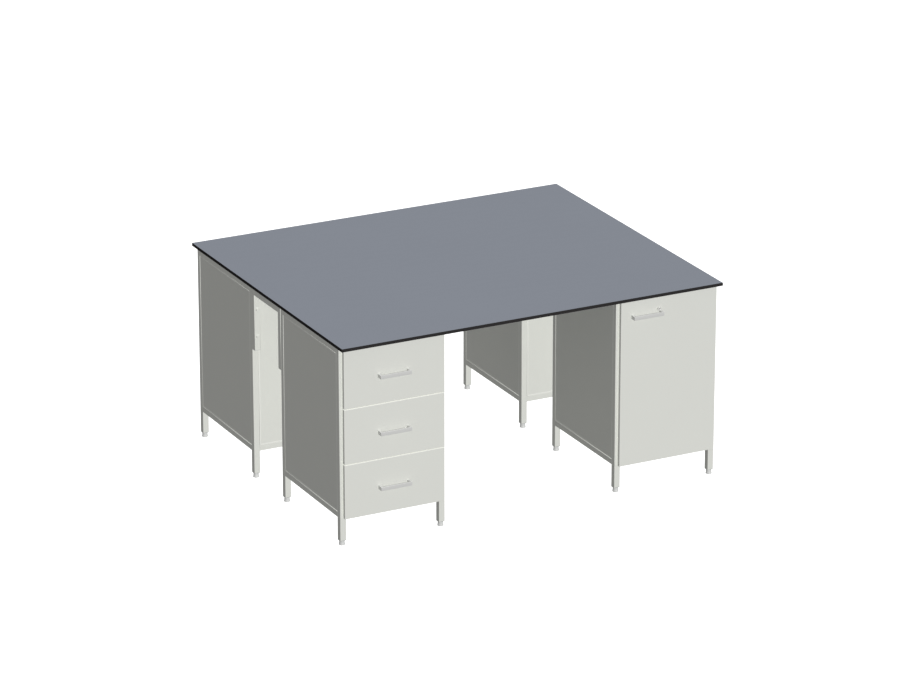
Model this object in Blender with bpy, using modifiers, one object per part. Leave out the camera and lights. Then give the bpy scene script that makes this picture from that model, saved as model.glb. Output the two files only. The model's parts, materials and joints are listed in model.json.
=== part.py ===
# Two-sided teacher desk: one large top on four tube-framed pedestals.
# The front left pedestal holds three drawers, the other three are cupboards.
# Metres, +Z up, the desk centred on the Z axis with the floor at Z = 0.
# The front of the desk looks along -Y.
import math

import bmesh
import bpy
from mathutils import Matrix, Vector

# Worktop
TOP_LENGTH = 1.800
TOP_DEPTH = 1.500
TOP_THICKNESS = 0.014
TOP_EDGE_ROUND = 0.0012

# Pedestals: their width, the space between front and rear ones, and how far the worktop runs past
PEDESTAL_WIDTH = 0.488
BETWEEN_PEDESTALS = 0.288
END_OVERHANG = 0.006
FRONT_OVERHANG = 0.044
POST_WIDTH = 0.028
POST_DEPTH = 0.025
RAIL_HEIGHT = 0.025
POST_FLOOR_GAP = 0.020
BOTTOM_RAIL_Z = 0.122

# Levelling feet
FOOT_PAD_RADIUS = 0.0135
FOOT_PAD_RIM = 0.003
FOOT_NECK_RADIUS = 0.0115
FOOT_NECK_Z = 0.0175
FOOT_STEM_RADIUS = 0.0055
FOOT_SIDES = 20

# Boards
BOARD_THICKNESS = 0.016
SIDE_RECESS = 0.001
SHELF_THICKNESS = 0.018
SHELF_Z = 0.500
SHELF_FRONT_SETBACK = 0.030
SHELF_SIDE_GAP = 0.002

# Drawer fronts and doors lie over the front posts
FRONT_THICKNESS = 0.016
FRONT_GAP = 0.007
FRONT_SIDE_INSET = 0.012
FRONT_BOTTOM_RISE = 0.003
FRONT_TOP_GAP = 0.006
FRONT_SPLIT_GAP = 0.003
LOWER_FRONT_HEIGHT = 0.240
MIDDLE_FRONT_HEIGHT = 0.2425
UPPER_FRONT_HEIGHT = 0.2545
FRONT_EDGE_ROUND = 0.001

# Drawer boxes: rise and drop are from the bottom and the top of the front
DRAWER_BACK_SPACE = 0.050
DRAWER_RUNNER_SPACE = 0.013
DRAWER_WALL = 0.012
DRAWER_BASE = 0.008
DRAWER_BOX_RISE = 0.060
DRAWER_BOX_DROP = 0.0445

# Bow handles: the drawers' lie a little outwards and down from the middle of the front
HANDLE_LENGTH = 0.144
HANDLE_REACH = 0.028
HANDLE_HEIGHT = 0.016
HANDLE_BAR = 0.008
HANDLE_LEG = 0.010
HANDLE_ROUND = 0.001
DRAWER_HANDLE_SHIFT = 0.005
DRAWER_HANDLE_DROP = 0.003
DOOR_HANDLE_INSET = 0.049
DOOR_HANDLE_LOCK_GAP = 0.001

# Cam locks
LOCK_INSET = 0.182
LOCK_DROP = 0.054
LOCK_BARREL_RADIUS = 0.0065
LOCK_HEAD_LIP = 0.001
LOCK_HEAD_REACH = 0.008
LOCK_BORE_CLEARANCE = 0.0004
LOCK_TAIL = 0.011
LOCK_CAM_THICKNESS = 0.002
LOCK_CAM_LENGTH = 0.033
LOCK_CAM_WIDTH = 0.012
LOCK_SIDES = 24

# Weld-on hinge knuckles, whose pin is the door's axis
HINGE_KNUCKLE_RADIUS = 0.003
HINGE_KNUCKLE_HEIGHT = 0.022
HINGE_EDGE_OFFSET = 0.001
HINGE_END_DISTANCE = 0.090
HINGE_WEB_WIDTH = 0.004
HINGE_WEB_BITE = 0.006
HINGE_SIDES = 16

# Frames that tie a front pedestal to the one behind it
TIE_PROUD = 0.001
TIE_WIDTH = 0.028
TIE_LEG_DEPTH = 0.025
TIE_RAIL_HEIGHT = 0.028
TIE_HEIGHT = 0.280

# Clearances
TOUCH_GAP = 0.0003
BOARD_FIT_GAP = 0.0005

# Modelling: how far a cutter runs past what it cuts, and how round faces are made
CUT_PAST = 0.050
SMOOTH_ANGLE = math.radians(35)
MERGE_DISTANCE = 0.0001

# Sizes that follow from the ones above
FRONT_BOTTOM_Z = BOTTOM_RAIL_Z + FRONT_BOTTOM_RISE
MIDDLE_FRONT_Z = FRONT_BOTTOM_Z + LOWER_FRONT_HEIGHT + FRONT_SPLIT_GAP
UPPER_FRONT_Z = MIDDLE_FRONT_Z + MIDDLE_FRONT_HEIGHT + FRONT_SPLIT_GAP
FRONT_TOP_Z = UPPER_FRONT_Z + UPPER_FRONT_HEIGHT
TOP_UNDERSIDE_Z = FRONT_TOP_Z + FRONT_TOP_GAP
FRAME_TOP_Z = TOP_UNDERSIDE_Z - TOUCH_GAP
OUTER_X = TOP_LENGTH / 2 - END_OVERHANG
INNER_X = OUTER_X - PEDESTAL_WIDTH
OUTER_Y = TOP_DEPTH / 2 - FRONT_OVERHANG
INNER_Y = BETWEEN_PEDESTALS / 2
PEDESTAL_DEPTH = OUTER_Y - INNER_Y
MIDDLE_X = (OUTER_X + INNER_X) / 2
MIDDLE_Y = (OUTER_Y + INNER_Y) / 2
RAIL_TOP_Z = BOTTOM_RAIL_Z + RAIL_HEIGHT
TOP_RAIL_Z = FRAME_TOP_Z - RAIL_HEIGHT
FRONT_BACK_Y = OUTER_Y + FRONT_GAP
FRONT_FACE_Y = FRONT_BACK_Y + FRONT_THICKNESS
FRONT_OUTER_X = OUTER_X - FRONT_SIDE_INSET
FRONT_INNER_X = INNER_X + FRONT_SIDE_INSET
BACK_PANEL_Y = INNER_Y + SIDE_RECESS + BOARD_THICKNESS
DRAWER_BOX_HEIGHT = UPPER_FRONT_HEIGHT - DRAWER_BOX_RISE - DRAWER_BOX_DROP
LOCK_Z = FRONT_TOP_Z - LOCK_DROP
LOCK_HEAD_RADIUS = LOCK_BARREL_RADIUS + LOCK_HEAD_LIP
DOOR_HANDLE_Z = LOCK_Z - LOCK_HEAD_RADIUS - DOOR_HANDLE_LOCK_GAP - HANDLE_HEIGHT / 2
HINGE_X = FRONT_OUTER_X + HINGE_EDGE_OFFSET
HINGE_Y = OUTER_Y + FRONT_GAP / 2

# Name, side of the desk in X, side of the desk in Y
PEDESTALS = (
    ("front_left", -1, -1),
    ("front_right", 1, -1),
    ("rear_left", -1, 1),
    ("rear_right", 1, 1),
)
DRAWER_PEDESTAL = "front_left"

# Colour, roughness and metallic value
FINISHES = {
    "worktop": ((0.235, 0.258, 0.292), 0.45, 0.0),
    "frame_paint": ((0.640, 0.650, 0.610), 0.40, 0.0),
    "board": ((0.660, 0.665, 0.620), 0.50, 0.0),
    "handle_metal": ((0.560, 0.560, 0.580), 0.35, 0.9),
    "lock_metal": ((0.620, 0.620, 0.620), 0.25, 1.0),
    "foot_plastic": ((0.600, 0.610, 0.600), 0.50, 0.0),
    "drawer_box": ((0.720, 0.720, 0.700), 0.55, 0.0),
}


def clear_scene():
    for item in list(bpy.data.objects):
        bpy.data.objects.remove(item, do_unlink=True)


def make_collection(name):
    collection = bpy.data.collections.new(name)
    bpy.context.scene.collection.children.link(collection)
    return collection


def make_material(name, finish):
    colour, roughness, metallic = FINISHES[finish]
    material = bpy.data.materials.new(name)
    material.use_nodes = True
    shader = material.node_tree.nodes["Principled BSDF"]
    shader.inputs["Base Color"].default_value = (*colour, 1.0)
    shader.inputs["Roughness"].default_value = roughness
    shader.inputs["Metallic"].default_value = metallic
    return material


def box_mesh(name, size):
    # A box about its own centre.
    shape = bmesh.new()
    bmesh.ops.create_cube(shape, size=1.0, matrix=Matrix.Diagonal((*size, 1.0)))
    mesh = bpy.data.meshes.new(name)
    shape.to_mesh(mesh)
    shape.free()
    return mesh


def cylinder_mesh(name, radius, length, sides, along_y=False):
    # A cylinder about its own centre, along Z or along Y.
    turn = Matrix.Rotation(math.pi / 2, 4, "X") if along_y else Matrix.Identity(4)
    shape = bmesh.new()
    bmesh.ops.create_cone(
        shape,
        cap_ends=True,
        segments=sides,
        radius1=radius,
        radius2=radius,
        depth=length,
        matrix=turn,
    )
    mesh = bpy.data.meshes.new(name)
    shape.to_mesh(mesh)
    shape.free()
    return mesh


def add_piece(name, mesh, finish, location, parent=None):
    piece = bpy.data.objects.new(name, mesh)
    parts.objects.link(piece)
    if not mesh.materials:
        mesh.materials.append(make_material(name, finish))
    piece.parent = parent
    piece.location = Vector(location) - (parent.location if parent else Vector())
    return piece


def add_axis(name, location, parent=None):
    # An empty on the axis of a moving piece.
    axis = bpy.data.objects.new(name, None)
    axis.empty_display_size = 0.05
    parts.objects.link(axis)
    axis.parent = parent
    axis.location = Vector(location) - (parent.location if parent else Vector())
    return axis


def add_box(name, low, high, finish, parent=None):
    size = [top - bottom for bottom, top in zip(low, high)]
    centre = [(top + bottom) / 2 for bottom, top in zip(low, high)]
    return add_piece(name, box_mesh(name, size), finish, centre, parent)


def add_cutter(name, mesh, location, parent=None):
    cutter = bpy.data.objects.new(name, mesh)
    cutters.objects.link(cutter)
    cutter.parent = parent
    cutter.location = Vector(location) - (parent.location if parent else Vector())
    cutter.hide_render = True
    cutter.display_type = "WIRE"
    return cutter


def add_box_cutter(name, low, high, parent=None):
    size = [top - bottom for bottom, top in zip(low, high)]
    centre = [(top + bottom) / 2 for bottom, top in zip(low, high)]
    return add_cutter(name, box_mesh(name, size), centre, parent)


def combine(piece, other, operation):
    boolean = piece.modifiers.new(other.name, "BOOLEAN")
    boolean.operation = operation
    boolean.object = other


def round_edges(piece, width, segments=2):
    bevel = piece.modifiers.new("round", "BEVEL")
    bevel.width = width
    bevel.segments = segments
    bevel.limit_method = "ANGLE"


def smooth_round_faces(mesh):
    mesh.shade_smooth()
    mesh.set_sharp_from_angle(angle=SMOOTH_ANGLE)


def settle_mesh(piece):
    # The piece's shape with its modifiers worked in, as a mesh that copies can share.
    graph = bpy.context.evaluated_depsgraph_get()
    mesh = bpy.data.meshes.new_from_object(piece.evaluated_get(graph))
    bpy.data.objects.remove(piece)
    return mesh


def quadrant_box(side_x, side_y, low, high):
    # Low and high corners of a box given for the +X +Y quarter, moved to another quarter.
    xs = sorted((side_x * low[0], side_x * high[0]))
    ys = sorted((side_y * low[1], side_y * high[1]))
    return (xs[0], ys[0], low[2]), (xs[1], ys[1], high[2])


def build_worktop():
    low = (-TOP_LENGTH / 2, -TOP_DEPTH / 2, TOP_UNDERSIDE_Z)
    high = (TOP_LENGTH / 2, TOP_DEPTH / 2, TOP_UNDERSIDE_Z + TOP_THICKNESS)
    worktop = add_box("worktop", low, high, "worktop")
    round_edges(worktop, TOP_EDGE_ROUND)


def make_frame_mesh():
    # A block of the pedestal's size, cut through along X, Y and Z so that posts and rails are left.
    height = FRAME_TOP_Z - POST_FLOOR_GAP
    middle_z = POST_FLOOR_GAP + height / 2
    inside_x = PEDESTAL_WIDTH / 2 - POST_WIDTH
    inside_y = PEDESTAL_DEPTH / 2 - POST_DEPTH
    past_x = PEDESTAL_WIDTH / 2 + CUT_PAST
    past_y = PEDESTAL_DEPTH / 2 + CUT_PAST
    past_z = height / 2 + CUT_PAST
    low_window = RAIL_TOP_Z - middle_z
    high_window = TOP_RAIL_Z - middle_z
    low_rail = BOTTOM_RAIL_Z - middle_z
    solid = box_mesh("block", (PEDESTAL_WIDTH, PEDESTAL_DEPTH, height))
    block = add_piece("block", solid, "frame_paint", (0, 0, 0))
    windows = {
        "side_window": ((-past_x, -inside_y, low_window), (past_x, inside_y, high_window)),
        "front_window": ((-inside_x, -past_y, low_window), (inside_x, past_y, high_window)),
        "shaft": ((-inside_x, -inside_y, -past_z), (inside_x, inside_y, past_z)),
        "side_leg_space": ((-past_x, -inside_y, -past_z), (past_x, inside_y, low_rail)),
        "front_leg_space": ((-inside_x, -past_y, -past_z), (inside_x, past_y, low_rail)),
    }
    tools = [add_box_cutter(name, low, high) for name, (low, high) in windows.items()]
    for tool in tools:
        combine(block, tool, "DIFFERENCE")
    mesh = settle_mesh(block)
    for tool in tools:
        bpy.data.objects.remove(tool)
    mesh.materials.clear()
    return mesh


def build_frame(name, side_x, side_y, mesh):
    middle_z = (FRAME_TOP_Z + POST_FLOOR_GAP) / 2
    place = (side_x * MIDDLE_X, side_y * MIDDLE_Y, middle_z)
    return add_piece(name + "_frame", mesh.copy(), "frame_paint", place)


def add_hinge_knuckles(name, frame, side_x, side_y):
    # Each knuckle is a short barrel on the axis, with a web that welds it to the front post.
    knuckle = cylinder_mesh(
        name + "_knuckle", HINGE_KNUCKLE_RADIUS, HINGE_KNUCKLE_HEIGHT, HINGE_SIDES
    )
    web_depth = HINGE_Y - OUTER_Y + HINGE_WEB_BITE
    web = box_mesh(name + "_web", (HINGE_WEB_WIDTH, web_depth, HINGE_KNUCKLE_HEIGHT))
    levels = {
        "lower": FRONT_BOTTOM_Z + HINGE_END_DISTANCE,
        "upper": FRONT_TOP_Z - HINGE_END_DISTANCE,
    }
    for level, z in levels.items():
        web_place = (side_x * HINGE_X, side_y * (HINGE_Y - web_depth / 2), z)
        barrel_place = (side_x * HINGE_X, side_y * HINGE_Y, z)
        combine(frame, add_cutter(f"{name}_{level}_web", web, web_place), "UNION")
        combine(frame, add_cutter(f"{name}_{level}_knuckle", knuckle, barrel_place), "UNION")


def make_foot_mesh():
    # A turned foot: rim, slightly tapered body, and the stem that screws up into the post.
    stem_top = POST_FLOOR_GAP - TOUCH_GAP
    profile = (
        (0.0, stem_top),
        (FOOT_STEM_RADIUS, stem_top),
        (FOOT_STEM_RADIUS, FOOT_NECK_Z),
        (FOOT_NECK_RADIUS, FOOT_NECK_Z),
        (FOOT_PAD_RADIUS, FOOT_PAD_RIM),
        (FOOT_PAD_RADIUS, 0.0),
        (0.0, 0.0),
    )
    outline = bmesh.new()
    points = [outline.verts.new((radius, 0.0, z)) for radius, z in profile]
    for first, second in zip(points, points[1:]):
        outline.edges.new((first, second))
    mesh = bpy.data.meshes.new("foot_outline")
    outline.to_mesh(mesh)
    outline.free()
    foot = add_piece("foot", mesh, "foot_plastic", (0, 0, 0))
    screw = foot.modifiers.new("turn", "SCREW")
    screw.steps = FOOT_SIDES
    screw.render_steps = FOOT_SIDES
    screw.use_merge_vertices = True
    screw.merge_threshold = MERGE_DISTANCE
    turned = settle_mesh(foot)
    turned.materials.clear()
    smooth_round_faces(turned)
    return turned


def build_feet(name, side_x, side_y, mesh):
    along_x = {"outer": OUTER_X - POST_WIDTH / 2, "inner": INNER_X + POST_WIDTH / 2}
    along_y = {"open": OUTER_Y - POST_DEPTH / 2, "back": INNER_Y + POST_DEPTH / 2}
    for where_x, x in along_x.items():
        for where_y, y in along_y.items():
            label = f"{name}_foot_{where_x}_{where_y}"
            add_piece(label, mesh, "foot_plastic", (side_x * x, side_y * y, 0.0))


def build_side_panels(name, side_x, side_y):
    # Both boards stand in the side windows of the frame, set back from its faces.
    low_y = INNER_Y + POST_DEPTH + BOARD_FIT_GAP
    high_y = OUTER_Y - POST_DEPTH - BOARD_FIT_GAP
    low_z = RAIL_TOP_Z + BOARD_FIT_GAP
    high_z = TOP_RAIL_Z - BOARD_FIT_GAP
    outer = OUTER_X - SIDE_RECESS
    inner = INNER_X + SIDE_RECESS
    spans = {"outer": (outer - BOARD_THICKNESS, outer), "inner": (inner, inner + BOARD_THICKNESS)}
    for where, (low_x, high_x) in spans.items():
        low = (low_x, low_y, low_z)
        high = (high_x, high_y, high_z)
        low, high = quadrant_box(side_x, side_y, low, high)
        add_box(f"{name}_{where}_side_panel", low, high, "board")


def build_back_panel(name, side_x, side_y):
    low_x = INNER_X + POST_WIDTH + BOARD_FIT_GAP
    high_x = OUTER_X - POST_WIDTH - BOARD_FIT_GAP
    low_z = RAIL_TOP_Z + BOARD_FIT_GAP
    high_z = TOP_RAIL_Z - BOARD_FIT_GAP
    low_y = BACK_PANEL_Y - BOARD_THICKNESS
    low = (low_x, low_y, low_z)
    high = (high_x, BACK_PANEL_Y, high_z)
    low, high = quadrant_box(side_x, side_y, low, high)
    add_box(name + "_back_panel", low, high, "board")


def build_bottom_panel(name, side_x, side_y):
    # Lies on the front and back bottom rails, between the posts.
    low_x = INNER_X + POST_WIDTH + BOARD_FIT_GAP
    high_x = OUTER_X - POST_WIDTH - BOARD_FIT_GAP
    low_y = BACK_PANEL_Y + BOARD_FIT_GAP
    high_y = OUTER_Y - BOARD_FIT_GAP
    low_z = RAIL_TOP_Z + TOUCH_GAP
    low, high = quadrant_box(
        side_x, side_y, (low_x, low_y, low_z), (high_x, high_y, low_z + BOARD_THICKNESS)
    )
    add_box(name + "_bottom_panel", low, high, "board")


def build_shelf(name, side_x, side_y):
    low_x = INNER_X + POST_WIDTH + SHELF_SIDE_GAP
    high_x = OUTER_X - POST_WIDTH - SHELF_SIDE_GAP
    low_y = BACK_PANEL_Y + BOARD_FIT_GAP
    high_y = OUTER_Y - SHELF_FRONT_SETBACK
    low, high = quadrant_box(
        side_x, side_y, (low_x, low_y, SHELF_Z), (high_x, high_y, SHELF_Z + SHELF_THICKNESS)
    )
    add_box(name + "_shelf", low, high, "board")


def make_handle_mesh():
    # A bow handle along X with its feet on Y = 0 and its bar towards -Y.
    solid = box_mesh("bow", (HANDLE_LENGTH, HANDLE_REACH, HANDLE_HEIGHT))
    bow = add_piece("bow", solid, "handle_metal", (0, -HANDLE_REACH / 2, 0))
    inside_x = HANDLE_LENGTH / 2 - HANDLE_LEG
    low = (-inside_x, HANDLE_BAR - HANDLE_REACH, -CUT_PAST)
    finger_space = add_box_cutter("finger_space", low, (inside_x, CUT_PAST, CUT_PAST))
    combine(bow, finger_space, "DIFFERENCE")
    round_edges(bow, HANDLE_ROUND)
    mesh = settle_mesh(bow)
    mesh.transform(Matrix.Translation((0, -HANDLE_REACH / 2, 0)))
    bpy.data.objects.remove(finger_space)
    mesh.materials.clear()
    return mesh


def build_handle(name, x, side_y, z, mesh, parent):
    place = (x, side_y * (FRONT_FACE_Y + TOUCH_GAP), z)
    handle = add_piece(name + "_handle", mesh, "handle_metal", place, parent)
    if side_y > 0:
        handle.rotation_euler.z = math.pi


def build_drawer(name, level, low_z, height, handle_mesh, side_x, side_y):
    # Front board, open box behind it and a bow handle, all hung on one empty at the front's centre.
    label = f"{name}_{level}_drawer"
    middle_x = side_x * MIDDLE_X
    slide = add_axis(label + "_slide", (middle_x, side_y * FRONT_BACK_Y, low_z + height / 2))
    low = (FRONT_INNER_X, FRONT_BACK_Y, low_z)
    high = (FRONT_OUTER_X, FRONT_FACE_Y, low_z + height)
    low, high = quadrant_box(side_x, side_y, low, high)
    front = add_box(label + "_front", low, high, "board", slide)
    round_edges(front, FRONT_EDGE_ROUND, 1)

    half_width = PEDESTAL_WIDTH / 2 - POST_WIDTH - DRAWER_RUNNER_SPACE
    near_y = FRONT_BACK_Y - TOUCH_GAP
    far_y = BACK_PANEL_Y + DRAWER_BACK_SPACE
    box_z = low_z + DRAWER_BOX_RISE
    low = (MIDDLE_X - half_width, far_y, box_z)
    high = (MIDDLE_X + half_width, near_y, box_z + DRAWER_BOX_HEIGHT)
    low, high = quadrant_box(side_x, side_y, low, high)
    box = add_box(label + "_box", low, high, "drawer_box", slide)
    inside_x = half_width - DRAWER_WALL
    low = (MIDDLE_X - inside_x, far_y + DRAWER_WALL, box_z + DRAWER_BASE)
    high = (MIDDLE_X + inside_x, near_y - DRAWER_WALL, box_z + DRAWER_BOX_HEIGHT + CUT_PAST)
    low, high = quadrant_box(side_x, side_y, low, high)
    combine(box, add_box_cutter(label + "_inside", low, high, slide), "DIFFERENCE")
    handle_x = side_x * (MIDDLE_X + DRAWER_HANDLE_SHIFT)
    handle_z = low_z + height / 2 - DRAWER_HANDLE_DROP
    build_handle(label, handle_x, side_y, handle_z, handle_mesh, slide)


def build_drawers(name, side_x, side_y, handle_mesh):
    levels = (
        ("lower", FRONT_BOTTOM_Z, LOWER_FRONT_HEIGHT),
        ("middle", MIDDLE_FRONT_Z, MIDDLE_FRONT_HEIGHT),
        ("upper", UPPER_FRONT_Z, UPPER_FRONT_HEIGHT),
    )
    for level, low_z, height in levels:
        build_drawer(name, level, low_z, height, handle_mesh, side_x, side_y)


def make_lock_mesh():
    # Head, barrel and cam on the Y axis; Y = 0 is the door's face, the head stands out towards -Y
    # and the cam points along +X.
    tail_y = FRONT_THICKNESS + LOCK_TAIL
    head_length = LOCK_HEAD_REACH - TOUCH_GAP
    solid = cylinder_mesh("lock", LOCK_HEAD_RADIUS, head_length, LOCK_SIDES, along_y=True)
    head = add_piece("lock", solid, "lock_metal", (0, -TOUCH_GAP - head_length / 2, 0))
    barrel_length = tail_y + LOCK_HEAD_REACH / 2
    solid = cylinder_mesh("barrel", LOCK_BARREL_RADIUS, barrel_length, LOCK_SIDES, along_y=True)
    barrel = add_cutter("barrel", solid, (0, tail_y - barrel_length / 2, 0))
    cam = add_box_cutter(
        "cam",
        (-LOCK_CAM_WIDTH / 2, tail_y - LOCK_CAM_THICKNESS / 2, -LOCK_CAM_WIDTH / 2),
        (LOCK_CAM_LENGTH, tail_y + LOCK_CAM_THICKNESS / 2, LOCK_CAM_WIDTH / 2),
    )
    combine(head, barrel, "UNION")
    combine(head, cam, "UNION")
    centre_y = head.location.y
    mesh = settle_mesh(head)
    mesh.transform(Matrix.Translation((0, centre_y, 0)))
    bpy.data.objects.remove(barrel)
    bpy.data.objects.remove(cam)
    mesh.materials.clear()
    smooth_round_faces(mesh)
    return mesh


def build_door(name, side_x, side_y, handle_mesh, lock_mesh):
    # Hung on the outer posts. The handle and the lock are near the free edge.
    hinge = add_axis(name + "_door_hinge", (side_x * HINGE_X, side_y * HINGE_Y, FRONT_BOTTOM_Z))
    low = (FRONT_INNER_X, FRONT_BACK_Y, FRONT_BOTTOM_Z)
    high = (FRONT_OUTER_X, FRONT_FACE_Y, FRONT_TOP_Z)
    low, high = quadrant_box(side_x, side_y, low, high)
    door = add_box(name + "_door", low, high, "board", hinge)
    lock_x = side_x * (FRONT_INNER_X + LOCK_INSET)
    bore_name = name + "_lock_bore"
    bore_radius = LOCK_BARREL_RADIUS + LOCK_BORE_CLEARANCE
    bore_length = FRONT_THICKNESS + 2 * CUT_PAST
    bore = cylinder_mesh(bore_name, bore_radius, bore_length, LOCK_SIDES, along_y=True)
    bore_place = (lock_x, side_y * FRONT_FACE_Y, LOCK_Z)
    combine(door, add_cutter(bore_name, bore, bore_place, hinge), "DIFFERENCE")
    round_edges(door, FRONT_EDGE_ROUND, 1)

    handle_x = side_x * (FRONT_INNER_X + DOOR_HANDLE_INSET + HANDLE_LENGTH / 2)
    build_handle(name + "_door", handle_x, side_y, DOOR_HANDLE_Z, handle_mesh, hinge)
    build_lock(name, lock_x, side_y, lock_mesh, hinge)


def build_lock(name, x, side_y, mesh, hinge):
    # The empty lies on the lock's own axis, at the door's face.
    axis = add_axis(name + "_lock_axis", (x, side_y * FRONT_FACE_Y, LOCK_Z), hinge)
    lock = add_piece(name + "_lock", mesh, "lock_metal", (0, 0, 0))
    lock.parent = axis
    if side_y > 0:
        lock.rotation_euler.z = math.pi


def build_tie_frame(name, side_x):
    # An upside-down U under the worktop: a rail and two legs bolted to the pedestals' posts.
    outer_x = OUTER_X + TIE_PROUD
    inner_x = outer_x - TIE_WIDTH
    reach_y = INNER_Y - TOUCH_GAP
    bottom_z = TOP_UNDERSIDE_Z - TIE_HEIGHT
    low, high = quadrant_box(
        side_x, 1, (inner_x, -reach_y, bottom_z), (outer_x, reach_y, FRAME_TOP_Z)
    )
    tie = add_box(name + "_tie_frame", low, high, "frame_paint")
    between_y = reach_y - TIE_LEG_DEPTH
    low = (inner_x - CUT_PAST, -between_y, bottom_z - CUT_PAST)
    high = (outer_x + CUT_PAST, between_y, FRAME_TOP_Z - TIE_RAIL_HEIGHT)
    low, high = quadrant_box(side_x, 1, low, high)
    combine(tie, add_box_cutter(name + "_tie_space", low, high), "DIFFERENCE")


def build_desk():
    build_worktop()
    frame_mesh = make_frame_mesh()
    foot_mesh = make_foot_mesh()
    handle_mesh = make_handle_mesh()
    lock_mesh = make_lock_mesh()
    for name, side_x, side_y in PEDESTALS:
        frame = build_frame(name, side_x, side_y, frame_mesh)
        build_feet(name, side_x, side_y, foot_mesh)
        build_side_panels(name, side_x, side_y)
        build_back_panel(name, side_x, side_y)
        build_bottom_panel(name, side_x, side_y)
        if name == DRAWER_PEDESTAL:
            build_drawers(name, side_x, side_y, handle_mesh)
        else:
            add_hinge_knuckles(name, frame, side_x, side_y)
            build_shelf(name, side_x, side_y)
            build_door(name, side_x, side_y, handle_mesh, lock_mesh)
    build_tie_frame("left", -1)
    build_tie_frame("right", 1)


clear_scene()
parts = make_collection("teacher_desk")
cutters = make_collection("cutters")
build_desk()
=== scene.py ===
import json
import math

import bmesh
import bpy
from mathutils import Matrix, Vector


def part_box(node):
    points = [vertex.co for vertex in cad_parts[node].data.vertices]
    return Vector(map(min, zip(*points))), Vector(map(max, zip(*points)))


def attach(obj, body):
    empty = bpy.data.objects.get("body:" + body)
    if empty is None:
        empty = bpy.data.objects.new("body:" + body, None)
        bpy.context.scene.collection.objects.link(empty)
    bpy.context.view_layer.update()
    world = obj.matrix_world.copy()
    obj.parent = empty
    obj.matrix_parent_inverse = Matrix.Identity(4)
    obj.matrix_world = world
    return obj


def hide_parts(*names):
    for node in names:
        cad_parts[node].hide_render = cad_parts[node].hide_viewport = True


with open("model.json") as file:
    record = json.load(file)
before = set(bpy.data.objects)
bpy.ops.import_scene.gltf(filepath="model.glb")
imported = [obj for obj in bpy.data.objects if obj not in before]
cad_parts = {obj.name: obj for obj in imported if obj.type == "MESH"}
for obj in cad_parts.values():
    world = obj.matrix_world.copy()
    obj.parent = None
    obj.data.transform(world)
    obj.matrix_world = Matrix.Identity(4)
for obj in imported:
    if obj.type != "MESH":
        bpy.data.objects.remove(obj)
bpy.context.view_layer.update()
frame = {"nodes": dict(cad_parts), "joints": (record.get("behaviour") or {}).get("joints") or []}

pedestals = {"front_left": (-1, -1), "front_right": (1, -1), "rear_left": (-1, 1), "rear_right": (1, 1)}
drawerPedestal = "front_left"
cupboards = [name for name in pedestals if name != drawerPedestal]
drawerLevels = ("lower", "middle", "upper")
jointOf = {joint["child"]: joint for joint in frame["joints"]}


# Node trees as expressions
class Wire:
    def __init__(self, graph, socket):
        self.graph = graph
        self.socket = socket

    def __add__(self, other):
        return self.graph.maths("ADD", self, other)

    def __sub__(self, other):
        return self.graph.maths("SUBTRACT", self, other)

    def __rsub__(self, other):
        return self.graph.maths("SUBTRACT", other, self)

    def __mul__(self, other):
        return self.graph.maths("MULTIPLY", self, other)

    __radd__ = __add__
    __rmul__ = __mul__


class Graph:
    def __init__(self, tree):
        self.tree = tree

    def add(self, kind, settings=None, inputs=None, out=0):
        node = self.tree.nodes.new(kind)
        for key, value in (settings or {}).items():
            if key == "stops":
                self.placeStops(node.color_ramp.elements, value)
            else:
                setattr(node, key, value)
        for key, value in (inputs or {}).items():
            self.feed(node.inputs[key], value)
        return Wire(self, node.outputs[out])

    def placeStops(self, elements, stops):
        while len(elements) < len(stops):
            elements.new(1.0)
        for element, (position, level) in zip(elements, stops):
            element.position = position
            element.color = (level, level, level, 1.0)

    def feed(self, socket, value):
        if isinstance(value, Wire):
            self.tree.links.new(value.socket, socket)
        else:
            socket.default_value = value

    def maths(self, operation, first, second):
        return self.add("ShaderNodeMath", {"operation": operation}, {0: first, 1: second})


class Finish(Graph):
    # one material, made from noises on Object coordinates
    def __init__(self, name, roughness, metallic=0.0):
        self.material = bpy.data.materials.new(name)
        self.material.use_nodes = True
        super().__init__(self.material.node_tree)
        self.shader = self.tree.nodes["Principled BSDF"]
        self.shader.inputs["Roughness"].default_value = roughness
        self.shader.inputs["Metallic"].default_value = metallic

    def noise(self, scale, detail=2.0, stretch=(1.0, 1.0, 1.0)):
        where = self.add("ShaderNodeTexCoord", out="Object")
        where = self.add("ShaderNodeMapping", inputs={"Vector": where, "Scale": stretch})
        sizes = {"Vector": where, "Scale": scale, "Detail": detail}
        return self.add("ShaderNodeTexNoise", inputs=sizes, out="Fac")

    def cells(self, scale):
        where = self.add("ShaderNodeTexCoord", out="Object")
        sizes = {"Vector": where, "Scale": scale}
        return self.add("ShaderNodeTexVoronoi", inputs=sizes, out="Distance")

    def ramp(self, value, stops):
        return self.add("ShaderNodeValToRGB", {"stops": stops}, {"Fac": value})

    def blend(self, factor, first, second):
        return self.add("ShaderNodeMix", {"data_type": "RGBA"}, {0: factor, 6: first, 7: second}, 2)

    def set(self, name, value):
        self.feed(self.shader.inputs[name], value)

    def bump(self, height, depth):
        sizes = {"Height": height, "Distance": depth, "Strength": 1.0}
        self.set("Normal", self.add("ShaderNodeBump", inputs=sizes, out="Normal"))


def tone(colour, factor):
    return tuple(min(1.0, channel * factor) for channel in colour) + (1.0,)


def drifting(finish, mask, colour, amount):
    # the colour, a little darker where the mask is low and a little lighter where it is high
    return finish.blend(mask, tone(colour, 1 - amount), tone(colour, 1 + amount))


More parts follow.
